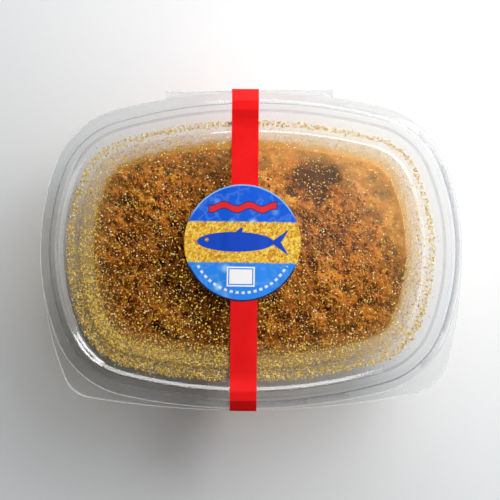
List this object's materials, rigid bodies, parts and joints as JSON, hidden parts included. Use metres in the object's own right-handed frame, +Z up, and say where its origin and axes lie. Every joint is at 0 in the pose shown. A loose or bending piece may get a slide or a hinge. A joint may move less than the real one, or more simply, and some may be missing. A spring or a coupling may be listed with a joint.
{
  "type": "tub of grated mullet bottarga",
  "caption": "Shut clear plastic tub with a hinged lid, filled with golden-brown grated mullet bottarga and sealed by a strip of red tape under a round label.",
  "frame": {"origin": "centre of the bounding box, on the plane the foot stands on", "axes": "+X across the wide side, +Y towards the hinge, +Z up through the lid"},
  "size_m": [0.1446, 0.1108, 0.0371],
  "materials": {
    "clear_tub": "clear thermoformed sheet, glossy on both sides",
    "clear_lid": "clear thermoformed sheet, glossy, with roe dust on its inside",
    "grated_roe": "grated dried roe, golden to dark brown, dry and slightly waxy",
    "red_tape": "smooth red adhesive tape, half gloss",
    "printed_label": "coated paper label printed in blue and gold fields, half gloss"
  },
  "bodies": {
    "root": {"tub": "clear_tub", "lid": "clear_lid", "bottarga": "grated_roe", "seal_tape": "red_tape", "label": "printed_label"}
  },
  "joints": []
}
